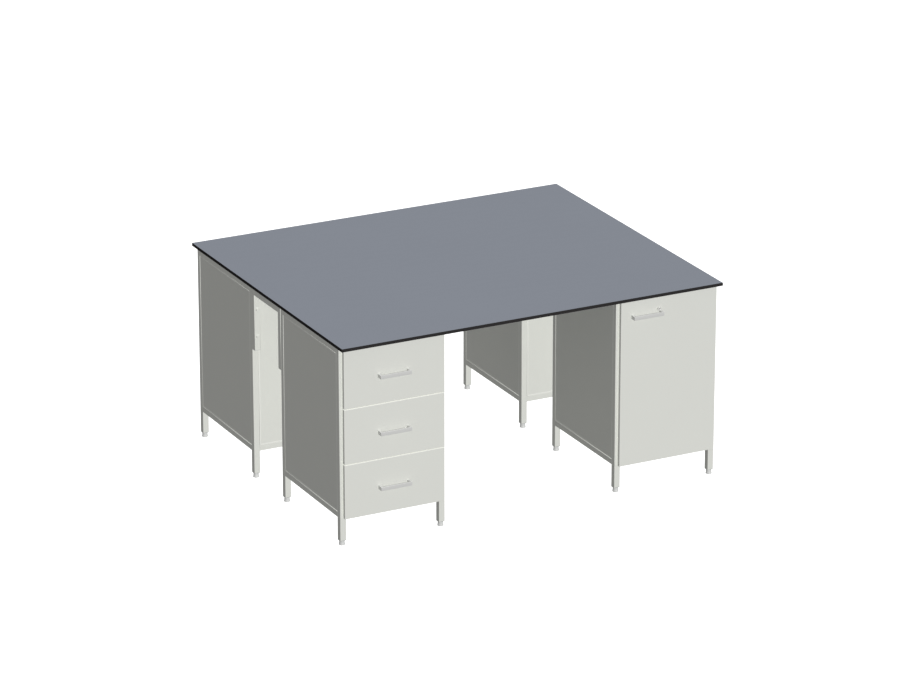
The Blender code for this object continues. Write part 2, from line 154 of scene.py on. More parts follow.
# Finishes
def makePowderCoat():
    look = {"colour": (0.600, 0.607, 0.570), "drift": 0.02, "driftScale": 5.0, "roughness": 0.42}
    grain = {"peelScale": 420.0, "peelDepth": 0.00010, "grainScale": 1900.0, "grainDepth": 0.00004}
    finish = Finish("powderCoat", look["roughness"])
    drift = finish.noise(look["driftScale"], 3.0)
    peel = finish.noise(grain["peelScale"])
    fine = finish.noise(grain["grainScale"], 1.0)
    finish.set("Base Color", drifting(finish, drift, look["colour"], look["drift"]))
    finish.set("Roughness", look["roughness"] - 0.06 + 0.12 * peel)
    finish.bump(peel * grain["peelDepth"] + fine * grain["grainDepth"], 1.0)
    return finish.material


def makeMelamine(name, colour, flecks=0.025):
    look = {"fleckScale": 1300.0, "driftScale": 3.0, "drift": 0.012, "roughness": 0.47}
    pearl = {"scale": 650.0, "depth": 0.00009}
    finish = Finish(name, look["roughness"])
    drift = finish.noise(look["driftScale"], 3.0)
    fleck = finish.noise(look["fleckScale"], 1.0)
    base = drifting(finish, drift, colour, look["drift"])
    mask = finish.ramp(fleck, ((0.42, 0.0), (0.62, 1.0)))
    finish.set("Base Color", finish.blend(mask * flecks * 4, base, tone(colour, 0.86)))
    dimples = finish.cells(pearl["scale"])
    finish.set("Roughness", look["roughness"] - 0.05 + 0.1 * drift + 0.04 * dimples)
    finish.bump(dimples * pearl["depth"], 1.0)
    return finish.material


def makeLaminate():
    look = {"colour": (0.208, 0.227, 0.266), "drift": 0.02, "driftScale": 2.2, "roughness": 0.44}
    speck = {"scale": 900.0, "light": 1.22, "dark": 0.80, "depth": 0.00005}
    finish = Finish("blueGreyLaminate", look["roughness"])
    drift = finish.noise(look["driftScale"], 4.0)
    fine = finish.noise(speck["scale"], 2.0)
    base = drifting(finish, drift, look["colour"], look["drift"])
    dark = finish.ramp(fine, ((0.30, 1.0), (0.42, 0.0)))
    light = finish.ramp(fine, ((0.60, 0.0), (0.70, 1.0)))
    flecked = finish.blend(dark * 0.5, base, tone(look["colour"], speck["dark"]))
    flecked = finish.blend(light * 0.4, flecked, tone(look["colour"], speck["light"]))
    finish.set("Base Color", flecked)
    wiped = finish.noise(9.0, 3.0, (1.0, 3.0, 1.0))  # faint wipe marks in the sheen only
    finish.set("Roughness", look["roughness"] - 0.05 + 0.10 * wiped)
    finish.bump(fine * speck["depth"], 1.0)
    return finish.material


def makeCore():
    # stacked dark paper sheets show as fine lines along the sawn edge
    look = {"colour": (0.020, 0.0192, 0.0195), "sheet": (0.030, 0.028, 0.029), "roughness": 0.5}
    finish = Finish("darkCore", look["roughness"])
    finish.set("Specular IOR Level", 0.0)
    sheets = finish.noise(1.0, 2.0, (7.0, 7.0, 2600.0))
    dark, pale = tone(look["colour"], 1.0), tone(look["sheet"], 1.0)
    finish.set("Base Color", finish.blend(sheets, dark, pale))
    finish.set("Roughness", look["roughness"] - 0.08 + 0.16 * sheets)
    finish.bump(sheets, 0.00008)
    return finish.material


def makeBrushed(name, colour, roughness, stretch, metallic=1.0):
    finish = Finish(name, roughness, metallic)
    brush = finish.noise(1.0, 2.0, stretch)
    finish.set("Base Color", finish.blend(brush, tone(colour, 0.94), tone(colour, 1.05)))
    finish.set("Roughness", roughness - 0.08 + 0.16 * brush)
    finish.bump(brush, 0.00003)
    return finish.material


def makeZinc():
    look = {"colour": (0.56, 0.57, 0.58), "spangle": 320.0, "roughness": 0.36}
    finish = Finish("zincPlate", look["roughness"], 1.0)
    spangle = finish.cells(look["spangle"])
    fine = finish.noise(2200.0, 1.0)
    finish.set("Base Color", drifting(finish, spangle, look["colour"], 0.1))
    finish.set("Roughness", look["roughness"] - 0.08 + 0.2 * spangle)
    finish.bump(fine, 0.00003)
    return finish.material


def makeMoulded(name, colour, roughness, depth=0.00006):
    # spark-eroded mould texture, with a slow change in tone
    finish = Finish(name, roughness)
    fine = finish.noise(1500.0, 3.0)
    drift = finish.noise(24.0, 2.0)
    finish.set("Base Color", drifting(finish, drift, colour, 0.04))
    finish.set("Roughness", roughness - 0.06 + 0.12 * fine)
    finish.bump(fine, depth)
    return finish.material


finishes = {
    "paint": makePowderCoat(),
    "board": makeMelamine("paleGreyMelamine", (0.600, 0.607, 0.570)),
    # edging: a lighter copy of the board melamine, partly the band's own tone and partly a painted
    # highlight on the edges and gap lines
    "edgingAndHighlight": makeMelamine("paleGreyEdging", (0.660, 0.665, 0.625), 0.01),
    "box": makeMelamine("whiteMelamine", (0.700, 0.700, 0.675)),
    "laminate": makeLaminate(),
    "core": makeCore(),
    "handle": makeBrushed("satinHandle", (0.575, 0.577, 0.565), 0.46, (40.0, 2400.0, 2400.0), 0.15),
    "nickel": makeBrushed("satinNickel", (0.66, 0.66, 0.64), 0.38, (900.0, 900.0, 900.0), 0.4),
    "zinc": makeZinc(),
    "foot": makeMoulded("footPlastic", (0.50, 0.505, 0.495), 0.5),
    # bead: lighter than the board, partly the plastic's own tone and partly a painted highlight on its
    # rounded edge
    "beadAndHighlight": makeMoulded("beadPlastic", (0.685, 0.69, 0.655), 0.42, 0.00003),
    "plug": makeMoulded("plugPlastic", (0.36, 0.365, 0.36), 0.55),
    # keywayShadow is painted shade: a near-black finish standing in for the shade inside the keyway slot
    "keywayShade": makeMoulded("keywayShadow", (0.012, 0.012, 0.012), 0.7),
}
print("finishes:", len(finishes))


# Mesh helpers
def addBlock(shape, low, high, ease, steps=2, along=None, material=0):
    # closed block with eased edges; along="X", "Y" or "Z" eases only the edges that run that way
    before = set(shape.faces)
    size = Vector(high) - Vector(low)
    place = Matrix.Translation((Vector(high) + Vector(low)) / 2) @ Matrix.Diagonal((*size, 1.0))
    corners = bmesh.ops.create_cube(shape, size=1.0, matrix=place)["verts"]
    edges = {edge for corner in corners for edge in corner.link_edges}
    if along:
        axis = "XYZ".index(along)
        edges = {e for e in edges if abs((e.verts[0].co - e.verts[1].co)[axis]) > 1e-7}
    flat = [face for face in shape.faces if face not in before]
    rounding = {"offset": ease, "segments": steps, "profile": 0.5, "affect": "EDGES"}
    for face in bmesh.ops.bevel(shape, geom=list(edges), **rounding)["faces"]:
        face.smooth = True
    faces = [face for face in shape.faces if face not in before]
    for face in faces:
        face.material_index = material
    for face in flat:
        if face.is_valid:
            face.smooth = False
    return faces


def addBoard(shape, low, high, look, faceMaterial=0, edgeMaterial=1):
    # a board whose edging strip shows as a fine frame round each broad face, in a lighter copy of the
    # board's melamine: partly the strip's own tone, partly a painted highlight where light catches the
    # edges and gap lines
    low, high = Vector(low), Vector(high)
    thin = min(range(3), key=lambda axis: high[axis] - low[axis])
    faces = addBlock(shape, low, high, look["ease"], look["easeSteps"])
    broad = [f for f in faces if abs(f.normal[thin]) > 0.999]
    for face in faces:
        face.material_index = edgeMaterial
    for face in broad:
        face.material_index = faceMaterial
    ring = bmesh.ops.inset_individual(shape, faces=broad, thickness=look["edgingAndHighlight"])["faces"]
    for face in ring:
        face.material_index = edgeMaterial


def addTurned(shape, profile, origin, axis, steps=24, material=0):
    # turns (radius, height) points round an axis; a point of radius 0 closes the form
    turn = Vector((0, 0, 1)).rotation_difference(Vector(axis)).to_matrix()
    rings = []
    for radius, height in profile:
        count = steps if radius > 0 else 1
        angles = [math.tau * i / steps for i in range(count)]
        points = [Vector((radius * math.cos(a), radius * math.sin(a), height)) for a in angles]
        rings.append([shape.verts.new(Vector(origin) + turn @ point) for point in points])
    made = []
    for first, second in zip(rings, rings[1:]):
        for i in range(steps):
            near = first[i % len(first)], first[(i + 1) % len(first)]
            far = second[(i + 1) % len(second)], second[i % len(second)]
            corners = list(dict.fromkeys(near + far))
            if len(corners) > 2:
                made.append(shape.faces.new(corners))
    for face in made:
        face.smooth = True
        face.material_index = material
    bmesh.ops.recalc_face_normals(shape, faces=made)


def addPrism(shape, outline, place, thickness, ease, material=0):
    # extrudes a closed outline of (x, y) points to both sides of its plane, then eases its rims
    before = set(shape.faces)
    half = thickness / 2
    lower = [shape.verts.new(place @ Vector((x, y, -half))) for x, y in outline]
    upper = [shape.verts.new(place @ Vector((x, y, half))) for x, y in outline]
    count = len(outline)
    caps = [shape.faces.new(lower[::-1]), shape.faces.new(upper)]
    for i in range(count):
        j = (i + 1) % count
        shape.faces.new((lower[i], lower[j], upper[j], upper[i])).smooth = True
    rims = {edge for cap in caps for edge in cap.edges}
    bmesh.ops.bevel(shape, geom=list(rims), offset=ease, segments=3, profile=0.5, affect="EDGES")
    faces = [face for face in shape.faces if face not in before]
    bmesh.ops.recalc_face_normals(shape, faces=faces)
    for face in faces:
        face.material_index = material
        face.smooth = face not in caps


def arc(centre, radius, start, end, steps=6):
    angles = [math.radians(start + (end - start) * i / steps) for i in range(steps + 1)]
    return [(centre[0] + radius * math.cos(a), centre[1] + radius * math.sin(a)) for a in angles]


def quarter(side, low, high):
    # a box given for the +X +Y pedestal, moved to another pedestal
    xs = sorted((side[0] * low[0], side[0] * high[0]))
    ys = sorted((side[1] * low[1], side[1] * high[1]))
    return Vector((xs[0], ys[0], low[2])), Vector((xs[1], ys[1], high[2]))


def makePiece(name, shape, wears, body="root", nodes=()):
    mesh = bpy.data.meshes.new(name)
    shape.to_mesh(mesh)
    shape.free()
    for finish in wears:
        mesh.materials.append(finishes[finish])
    piece = bpy.data.objects.new(name, mesh)
    bpy.context.scene.collection.objects.link(piece)
    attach(piece, body)
    if nodes:
        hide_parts(*nodes)
    return piece


def cutHoles(mesh, holes):
    # takes (centre, axis, radius, length) bores out of a mesh that is in no scene yet
    tools = bmesh.new()
    for centre, axis, radius, length in holes:
        ends = ((0, -length / 2), (radius, -length / 2), (radius, length / 2), (0, length / 2))
        addTurned(tools, ends, centre, axis, 32)
    toolMesh = bpy.data.meshes.new("bores")
    tools.to_mesh(toolMesh)
    tools.free()
    tool = bpy.data.objects.new("bores", toolMesh)
    work = bpy.data.objects.new("work", mesh)
    for item in (tool, work):
        bpy.context.scene.collection.objects.link(item)
    cut = work.modifiers.new("bore", "BOOLEAN")
    cut.object = tool
    cut.solver = "EXACT"
    graph = bpy.context.evaluated_depsgraph_get()
    done = bpy.data.meshes.new_from_object(work.evaluated_get(graph))
    bpy.data.objects.remove(work)
    bpy.data.objects.remove(tool)
    shape = bmesh.new()
    shape.from_mesh(done)
    return shape


def openTree(name, numbers, counts=()):
    # a tree that takes points, named sizes and a finish
    group = bpy.data.node_groups.new(name, "GeometryNodeTree")
    face = group.interface
    face.new_socket("Geometry", in_out="INPUT", socket_type="NodeSocketGeometry")
    for number in numbers:
        face.new_socket(number, in_out="INPUT", socket_type="NodeSocketFloat")
    for count in counts:
        face.new_socket(count, in_out="INPUT", socket_type="NodeSocketInt")
    face.new_socket("Finish", in_out="INPUT", socket_type="NodeSocketMaterial")
    face.new_socket("Geometry", in_out="OUTPUT", socket_type="NodeSocketGeometry")
    graph = Graph(group)
    inlet = group.nodes.new("NodeGroupInput")
    ask = {socket.name: Wire(graph, socket) for socket in inlet.outputs if socket.name}
    return graph, ask


def joined(graph, first, second):
    join = graph.tree.nodes.new("GeometryNodeJoinGeometry")
    for part in (first, second):
        graph.tree.links.new(part.socket, join.inputs[0])
    return Wire(graph, join.outputs[0])


def closeTree(graph, spread, finish):
    # sets the piece on the points as plain geometry in its finish
    placed = graph.add("GeometryNodeInstanceOnPoints", inputs=spread)
    real = graph.add("GeometryNodeRealizeInstances", inputs={"Geometry": placed})
    dressed = graph.add("GeometryNodeSetMaterial", inputs={"Geometry": real, "Material": finish})
    outlet = graph.tree.nodes.new("NodeGroupOutput")
    graph.tree.links.new(dressed.socket, outlet.inputs[0])
    return graph.tree


# One fastener, set on every point and turned to that point's own facing
def makeFastenerTree():
    numbers = ("Head Radius", "Head Height", "Crown", "Socket Radius", "Washer Radius", "Washer Height")
    graph, ask = openTree("fasteners", numbers, ("Sides", "Socket Sides"))

    def raised(shape, height):
        lift = graph.add("ShaderNodeCombineXYZ", inputs={"Z": height})
        return graph.add("GeometryNodeTransform", inputs={"Geometry": shape, "Translation": lift})

    def disc(sides, radius, depth):
        sizes = {"Vertices": sides, "Radius": radius, "Depth": depth}
        return graph.add("GeometryNodeMeshCylinder", inputs=sizes, out="Mesh")

    crownRadius = ask["Head Radius"] * ask["Crown"]
    headSizes = {"Vertices": ask["Sides"], "Depth": ask["Head Height"]}
    headSizes.update({"Radius Top": crownRadius, "Radius Bottom": ask["Head Radius"]})
    head = graph.add("GeometryNodeMeshCone", inputs=headSizes, out="Mesh")
    head = raised(head, ask["Washer Height"])
    socket = disc(ask["Socket Sides"], ask["Socket Radius"], ask["Head Height"])
    socket = raised(socket, ask["Washer Height"] + ask["Head Height"])
    pair = {"Mesh 1": head, "Mesh 2": socket}
    cut = graph.add("GeometryNodeMeshBoolean", {"operation": "DIFFERENCE"}, pair)
    washer = disc(20, ask["Washer Radius"], ask["Washer Height"])
    washer = raised(washer, ask["Washer Height"] * 0.5)
    whole = joined(graph, cut, washer)
    kind = {"data_type": "FLOAT_VECTOR"}
    facing = graph.add("GeometryNodeInputNamedAttribute", kind, {"Name": "facing"})
    turn = graph.add("FunctionNodeAlignRotationToVector", {"axis": "Z"}, {"Vector": facing})
    spread = {"Points": ask["Geometry"], "Instance": whole, "Rotation": turn}
    return closeTree(graph, spread, ask["Finish"])


# A threaded stem standing on every point
def makeStemTree():
    graph, ask = openTree("stems", ("Radius", "Length", "Turns", "Ridge"))
    root = ask["Radius"] - ask["Ridge"]
    winding = {"Resolution": 14, "Rotations": ask["Turns"], "Start Radius": root, "End Radius": root}
    helix = graph.add("GeometryNodeCurveSpiral", inputs={**winding, "Height": ask["Length"]})
    tooth = {"Resolution": 3, "Radius": ask["Ridge"]}
    crest = graph.add("GeometryNodeCurvePrimitiveCircle", inputs=tooth)
    ridge = {"Curve": helix, "Profile Curve": crest, "Fill Caps": True}
    thread = graph.add("GeometryNodeCurveToMesh", inputs=ridge)
    coreSizes = {"Vertices": 14, "Radius": root, "Depth": ask["Length"]}
    core = graph.add("GeometryNodeMeshCylinder", inputs=coreSizes, out="Mesh")
    lift = graph.add("ShaderNodeCombineXYZ", inputs={"Z": ask["Length"] * 0.5})
    core = graph.add("GeometryNodeTransform", inputs={"Geometry": core, "Translation": lift})
    spread = {"Points": ask["Geometry"], "Instance": joined(graph, thread, core)}
    return closeTree(graph, spread, ask["Finish"])


def setOnPoints(name, tree, points, sizes, finish, body="root"):
    # runs a tree on (place, facing) points and keeps the result as a plain mesh
    seeds = bpy.data.meshes.new(name + "_points")
    seeds.from_pydata([place for place, _ in points], [], [])
    facing = seeds.attributes.new("facing", "FLOAT_VECTOR", "POINT")
    facing.data.foreach_set("vector", [value for _, aim in points for value in aim])
    piece = bpy.data.objects.new(name, seeds)
    bpy.context.scene.collection.objects.link(piece)
    modifier = piece.modifiers.new("fixings", "NODES")
    modifier.node_group = tree
    values = {**sizes, "Finish": finishes[finish]}
    for socket in tree.interface.items_tree:
        if socket.in_out == "INPUT" and socket.name in values:
            modifier[socket.identifier] = values[socket.name]
    piece.update_tag()
    graph = bpy.context.evaluated_depsgraph_get()
    plain = bpy.data.meshes.new_from_object(piece.evaluated_get(graph))
    piece.modifiers.remove(modifier)
    piece.data = plain
    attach(piece, body)
    return piece


fastenerTree = makeFastenerTree()
stemTree = makeStemTree()
screwSizes = {
    "Head Radius": 0.0036, "Head Height": 0.0012, "Crown": 0.72, "Socket Radius": 0.0013,
    "Washer Radius": 0.0036, "Washer Height": 0.0003, "Sides": 20, "Socket Sides": 6,
}
boltSizes = {
    "Head Radius": 0.0062, "Head Height": 0.0036, "Crown": 0.74, "Socket Radius": 0.0024,
    "Washer Radius": 0.0085, "Washer Height": 0.0012, "Sides": 22, "Socket Sides": 6,
}
nutSizes = {
    "Head Radius": 0.0082, "Head Height": 0.0015, "Crown": 0.97, "Socket Radius": 0.0050,
    "Washer Radius": 0.0088, "Washer Height": 0.0005, "Sides": 6, "Socket Sides": 20,
}
print("node trees ready")


# Sizes read from the frame, for the +X +Y pedestal
frameLow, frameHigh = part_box(drawerPedestal + "_frame")
outerX, innerX = -frameLow.x, -frameHigh.x
outerY, innerY = -frameLow.y, -frameHigh.y
frameTop, postFoot = frameHigh.z, frameLow.z
tube = {
    "postX": 0.028, "postY": 0.025, "rail": 0.025, "corner": 0.0010, "sink": 0.0006,
    "plug": 0.0022, "plugInset": 0.0004, "plugEase": 0.0009,
}
panelGap = 0.0005  # between a panel's edge and the rail under it
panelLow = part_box(drawerPedestal + "_outer_side_panel")[0]
railLow = panelLow.z - panelGap - tube["rail"]
railUnder = frameTop - tube["rail"]


def buildWorktop():
    look = {"ease": 0.0012, "easeSteps": 3}
    shape = bmesh.new()
    addBlock(shape, *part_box("worktop"), look["ease"], look["easeSteps"], material=1)
    for face in shape.faces:
        if abs(face.normal.z) > 0.999:
            face.material_index = 0
    makePiece("worktop_slab", shape, ("laminate", "core"), nodes=("worktop",))


def addTube(shape, low, high, along):
    addBlock(shape, low, high, tube["corner"], 2, along)


def addPlug(shape, low, high, ease):
    # moulded cap that closes the foot of a tube, a little smaller than the tube
    step = Vector((tube["plugInset"], tube["plugInset"], 0))
    addBlock(shape, Vector(low) + step, Vector(high) - step, ease, 2, material=1)


def buildTubeFrame(name, side):
    # posts run full height; rails butt against them and sink a little into the weld
    shape = bmesh.new()
    postX, postY, rail, sink = tube["postX"], tube["postY"], tube["rail"], tube["sink"]
    foot = postFoot + tube["plug"]
    for x in (innerX, outerX - postX):
        for y in (innerY, outerY - postY):
            addTube(shape, *quarter(side, (x, y, foot), (x + postX, y + postY, frameTop)), "Z")
            ends = (x, y, postFoot), (x + postX, y + postY, foot)
            addPlug(shape, *quarter(side, *ends), tube["plugEase"])
    for z in (railLow, railUnder):
        for y in (innerY, outerY - postY):
            ends = (innerX + postX - sink, y, z), (outerX - postX + sink, y + postY, z + rail)
            addTube(shape, *quarter(side, *ends), "X")
        for x in (innerX, outerX - postX):
            ends = (x, innerY + postY - sink, z), (x + postX, outerY - postY + sink, z + rail)
            addTube(shape, *quarter(side, *ends), "Y")
    if name in cupboards:
        addFrameKnuckles(shape, name, side)
    wears = ("paint", "plug", "zinc")
    makePiece(name + "_tube_frame", shape, wears, nodes=(name + "_frame",))


hinge = {
    "radius": 0.0030, "length": 0.022, "endDistance": 0.090, "knuckleEase": 0.0004, "gap": 0.0004,
    "web": 0.004, "webBite": 0.002, "webInset": 0.0006, "webEase": 0.0005,
    "doorKnuckle": 0.009, "pinTip": 0.0024,
    "leaf": 0.0015, "leafReach": 0.040, "leafOffset": 0.0004, "leafClear": 0.0008, "leafLap": 0.001,
    "leafEase": 0.0004, "tongueEase": 0.0003, "screws": ((0.032, -0.013), (0.032, 0.013), (0.020, 0.0)),
}


def hingeLevels(name):
    low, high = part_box(name + "_door")
    return low.z + hinge["endDistance"], high.z - hinge["endDistance"]


def addKnuckle(shape, centre, length):
    radius, ease, half = hinge["radius"], hinge["knuckleEase"], length / 2
    upper = ((radius, half - ease), (radius - ease, half), (0, half))
    lower = tuple((r, -z) for r, z in reversed(upper))
    addTurned(shape, lower + upper, centre, (0, 0, 1), steps=20)


def addFrameKnuckles(shape, name, side):
    # the middle knuckle of each hinge, its web to the post, and the two pin ends
    pivot = Vector(jointOf[name + "_door"]["pos_m"])
    axisX, axisY, half = abs(pivot.x), abs(pivot.y), hinge["length"] / 2
    tip = hinge["pinTip"]
    pinEnd = ((0, 0), (tip, 0), (tip, 0.0006), (tip - 0.0010, 0.0014), (0, 0.0016))
    for z in hingeLevels(name):
        centre = Vector((pivot.x, pivot.y, z))
        addKnuckle(shape, centre, hinge["length"])
        tall = half - hinge["webInset"]
        low = (axisX - hinge["web"] / 2, outerY - hinge["webBite"], z - tall)
        high = (axisX + hinge["web"] / 2, axisY, z + tall)
        addBlock(shape, *quarter(side, low, high), hinge["webEase"])
        reach = half + hinge["doorKnuckle"] + 2 * hinge["gap"]
        for end in (-1, 1):
            place = centre + Vector((0, 0, end * reach))
            addTurned(shape, pinEnd, place, (0, 0, end), steps=16, material=2)


def addBead(shape, low, high, axis, out):
    # mitred half-round strip round the edge of a panel's visible face, in a lighter plastic: partly its own
    # tone, partly a painted highlight where its rounded top catches the light
    look = {"width": 0.0046, "rise": 0.0004, "sink": 0.0003}
    flat = [i for i in range(3) if i != axis]
    level = high[axis] if out > 0 else low[axis]
    half = look["width"] / 2
    bow = [(half + half * x, look["rise"] * y) for x, y in arc((0.0, 0.0), 1.0, 180, 0)]
    profile = [(0.0, -look["sink"])] + bow + [(look["width"], -look["sink"])]
    rings = []
    for inset, rise in profile:
        ring = []
        for u, v in ((0, 0), (1, 0), (1, 1), (0, 1)):
            point = [0.0, 0.0, 0.0]
            point[axis] = level + out * rise
            point[flat[0]] = high[flat[0]] - inset if u else low[flat[0]] + inset
            point[flat[1]] = high[flat[1]] - inset if v else low[flat[1]] + inset
            ring.append(shape.verts.new(point))
        rings.append(ring)
    made = []
    for first, second in zip(rings, rings[1:] + rings[:1]):
        for i in range(4):
            j = (i + 1) % 4
            made.append(shape.faces.new((first[i], first[j], second[j], second[i])))
    for face in made:
        face.smooth = True
        face.material_index = 2
    bmesh.ops.recalc_face_normals(shape, faces=made)


boardLook = {"ease": 0.0005, "easeSteps": 2, "edgingAndHighlight": 0.0008}
frontLook = {"ease": 0.0012, "easeSteps": 3, "edgingAndHighlight": 0.0009}


def buildPanels(name, side):
    faces = {
        "outer_side_panel": (0, side[0]),
        "inner_side_panel": (0, -side[0]),
        "back_panel": (1, -side[1]),
    }
    for panel, (axis, out) in faces.items():
        node = f"{name}_{panel}"
        low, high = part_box(node)
        shape = bmesh.new()
        addBoard(shape, low, high, boardLook)
        addBead(shape, low, high, axis, out)
        makePiece(node + "_board", shape, ("board", "edgingAndHighlight", "beadAndHighlight"), nodes=(node,))
    for part in ("bottom_panel", "shelf"):
        node = f"{name}_{part}"
        if node not in frame["nodes"]:
            continue
        shape = bmesh.new()
        addBoard(shape, *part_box(node), boardLook)
        makePiece(node + "_board", shape, ("board", "edgingAndHighlight"), nodes=(node,))


def buildShelfRails(name, side):
    # a steel angle under each end of the shelf, screwed to the posts
    look = {"flange": 0.014, "sheet": 0.0015, "ease": 0.0003, "gap": 0.0002}
    reach = {"back": 0.021, "front": 0.004, "screwBack": 0.006, "screwFront": 0.008}
    flange, sheet, ease = look["flange"], look["sheet"], look["ease"]
    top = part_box(name + "_shelf")[0].z - look["gap"]
    nearY, farY = innerY + reach["back"], outerY - reach["front"]
    shape = bmesh.new()
    screws = []
    for post, inward in ((innerX + tube["postX"], 1), (outerX - tube["postX"], -1)):
        wall = sorted((post, post + inward * sheet))
        lip = sorted((post, post + inward * flange))
        ends = (wall[0], nearY, top - flange), (wall[1], farY, top)
        addBlock(shape, *quarter(side, *ends), ease)
        ends = (lip[0], nearY, top - sheet), (lip[1], farY, top)
        addBlock(shape, *quarter(side, *ends), ease)
        for y in (nearY + reach["screwBack"], farY - reach["screwFront"]):
            x = post + inward * sheet
            place = Vector((side[0] * x, side[1] * y, top - flange / 2))
            screws.append((place, (side[0] * inward, 0, 0)))
    makePiece(name + "_shelf_rails", shape, ("zinc",))
    return screws


# Outline of a bow handle: feet at y = 0, bar at the far side
handleLook = {"bar": 0.008, "leg": 0.010, "outerBend": 0.0012, "innerBend": 0.0010, "ease": 0.0006}


def addHandle(shape, node, side):
    low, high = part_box(node)
    centre = (low + high) / 2
    half, reach, thick = (high.x - low.x) / 2, high.y - low.y, high.z - low.z
    outer, inner = handleLook["outerBend"], handleLook["innerBend"]
    legX, barY = half - handleLook["leg"], reach - handleLook["bar"]
    outline = [(half, 0.0)]
    outline += arc((half - outer, reach - outer), outer, 0, 90)
    outline += arc((outer - half, reach - outer), outer, 90, 180)
    outline += [(-half, 0.0), (-legX, 0.0)]
    outline += arc((inner - legX, barY - inner), inner, 180, 90)
    outline += arc((legX - inner, barY - inner), inner, 90, 0)
    outline += [(legX, 0.0)]
    foot = high.y if side[1] < 0 else low.y
    place = Matrix.Translation((centre.x, foot, centre.z)) @ Matrix.Diagonal((side[1], side[1], 1.0, 1.0))
    addPrism(shape, outline, place, thick, handleLook["ease"])
    return centre, legX + handleLook["leg"] / 2


def buildDrawer(level):
    label = f"{drawerPedestal}_{level}_drawer"
    shape = bmesh.new()
    addBoard(shape, *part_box(label + "_front"), frontLook)
    makePiece(label + "_face", shape, ("board", "edgingAndHighlight"), label, (label + "_front",))

    # open box: two sides, two ends let a little into them, and a thin base
    look = {
        "wall": 0.012, "base": 0.008, "sheet": 0.005,
        "ease": 0.0008, "groove": 0.0004, "endDrop": 0.0006,
    }
    wall, groove, ease = look["wall"], look["groove"], look["ease"]
    low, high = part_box(label + "_box")
    shape = bmesh.new()
    addBlock(shape, (low.x, low.y, low.z), (low.x + wall, high.y, high.z), ease)
    addBlock(shape, (high.x - wall, low.y, low.z), (high.x, high.y, high.z), ease)
    inset, top = wall - groove, high.z - look["endDrop"]
    for y in (low.y, high.y - wall):
        addBlock(shape, (low.x + inset, y, low.z), (high.x - inset, y + wall, top), ease)
    base = low.z + look["base"]
    ends = (low.x + inset, low.y + inset, base - look["sheet"]), (high.x - inset, high.y - inset, base)
    addBlock(shape, *ends, ease / 2)
    makePiece(label + "_tray", shape, ("box",), label, (label + "_box",))

    shape = bmesh.new()
    centre, footX = addHandle(shape, label + "_handle", pedestals[drawerPedestal])
    makePiece(label + "_pull", shape, ("handle",), label, (label + "_handle",))
    screws = [((centre.x + end * footX, low.y + wall, centre.z), (0, 1, 0)) for end in (-1, 1)]
    fixedScrews, slidingScrews = buildRunners(label, low, high)
    small = {**screwSizes, "Head Radius": 0.0032}
    setOnPoints(label + "_screws", fastenerTree, slidingScrews + screws, small, "zinc", label)
    return fixedScrews


def buildRunners(label, low, high):
    # the outer channel stays on the posts, the inner one leaves with the drawer
    run = {
        "height": 0.034, "innerHeight": 0.027, "sheet": 0.0012, "lip": 0.0042, "innerLip": 0.0080,
        "ease": 0.0003, "gap": 0.0003, "drop": 0.010, "nearEnd": 0.002, "farEnd": 0.020, "innerEnd": 0.004,
    }
    spots = {"post": (0.012, 0.023), "near": 0.030, "middle": 0.240, "far": 0.030}
    z = (low.z + high.z) / 2 - run["drop"]
    side = pedestals[drawerPedestal][0]
    fixed, sliding = bmesh.new(), bmesh.new()
    fixedScrews, slidingScrews = [], []
    for postX, inward in ((outerX - tube["postX"], 1), (innerX + tube["postX"], -1)):
        start = side * postX + inward * run["gap"]
        span = -outerY + run["nearEnd"], -innerY - run["farEnd"]
        addChannel(fixed, start, inward, z, run["height"], run["lip"], run, *span)
        wallX = (low.x if inward > 0 else high.x) - inward * run["gap"]
        span = low.y, high.y - run["innerEnd"]
        addChannel(sliding, wallX, -inward, z, run["innerHeight"], run["innerLip"], run, *span)
        for y in (-outerY + spots["post"][0], -innerY - spots["post"][1]):
            fixedScrews.append(((start + inward * run["sheet"], y, z), (inward, 0, 0)))
        for y in (low.y + spots["near"], low.y + spots["middle"], high.y - spots["far"]):
            slidingScrews.append(((wallX - inward * run["sheet"], y, z), (-inward, 0, 0)))
    makePiece(label + "_runner_channels", fixed, ("zinc",))
    makePiece(label + "_runner_slides", sliding, ("zinc",), label)
    return fixedScrews, slidingScrews


def addChannel(shape, x, outward, z, height, lip, run, nearY, farY):
    # thin C-shaped rail: a web on one wall and two lips turned towards the other
    def plate(fromX, toX, lowZ, highZ):
        xs = sorted((fromX, toX))
        addBlock(shape, (xs[0], nearY, lowZ), (xs[1], farY, highZ), run["ease"])

    sheet, half = run["sheet"], height / 2
    plate(x, x + outward * sheet, z - half, z + half)
    for lowZ, highZ in ((z - half, z - half + sheet), (z + half - sheet, z + half)):
        plate(x + outward * sheet / 2, x + outward * lip, lowZ, highZ)


def buildDoor(name, side):
    bore = {"radius": 0.0069, "length": 0.1}
    body = name + "_door"
    low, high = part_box(body)
    lockPivot = Vector(jointOf[name + "_lock"]["pos_m"])
    shape = bmesh.new()
    addBoard(shape, low, high, frontLook)
    mesh = bpy.data.meshes.new("leafBoard")
    shape.to_mesh(mesh)
    shape.free()
    for finish in ("board", "edgingAndHighlight"):
        mesh.materials.append(finishes[finish])
    shape = cutHoles(mesh, [(lockPivot, (0, 1, 0), bore["radius"], bore["length"])])
    makePiece(body + "_leaf", shape, ("board", "edgingAndHighlight"), body, (body,))

    shape = bmesh.new()
    centre, footX = addHandle(shape, body + "_handle", side)
    makePiece(body + "_pull", shape, ("handle",), body, (body + "_handle",))

    back = low.y if side[1] > 0 else high.y  # the door's inner face
    screws = buildHingeLeaves(name, side, back)
    for end in (-1, 1):
        screws.append((Vector((centre.x + end * footX, back, centre.z)), (0, -side[1], 0)))
    setOnPoints(body + "_screws", fastenerTree, screws, screwSizes, "zinc", body)


